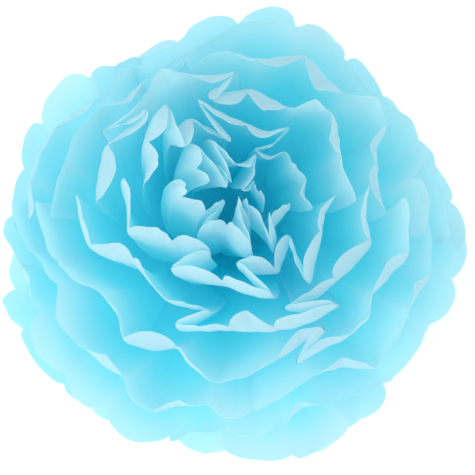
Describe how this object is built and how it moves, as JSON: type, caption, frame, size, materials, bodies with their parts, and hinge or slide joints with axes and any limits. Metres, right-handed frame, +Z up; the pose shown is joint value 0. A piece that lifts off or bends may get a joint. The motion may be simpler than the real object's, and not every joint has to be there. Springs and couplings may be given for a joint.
{
  "type": "tissue paper pom pom",
  "caption": "Round tissue paper pom pom: pleated sheets with round cut ends, tied at the middle and fluffed into nested ruffled rings.",
  "frame": {"origin": "middle of the bounding box, at the table the ball stands on", "axes": "+Z up out of the ball's heart, through the tie. The two halves of each sheet lie towards +Y and -Y, and their side edges meet over the X axis."},
  "size_m": [0.3619, 0.3523, 0.3211],
  "materials": {
    "tissue": "matte",
    "wire": "satin"
  },
  "bodies": {
    "root": {"tissue_sheet_01": "tissue", "tissue_sheet_02": "tissue", "tissue_sheet_03": "tissue", "tissue_sheet_04": "tissue", "tissue_sheet_05": "tissue", "tissue_sheet_06": "tissue", "tissue_sheet_07": "tissue", "tissue_sheet_08": "tissue", "tissue_sheet_09": "tissue", "tissue_sheet_10": "tissue", "tissue_sheet_11": "tissue", "tissue_sheet_12": "tissue", "tie_wire": "wire"}
  },
  "joints": []
}
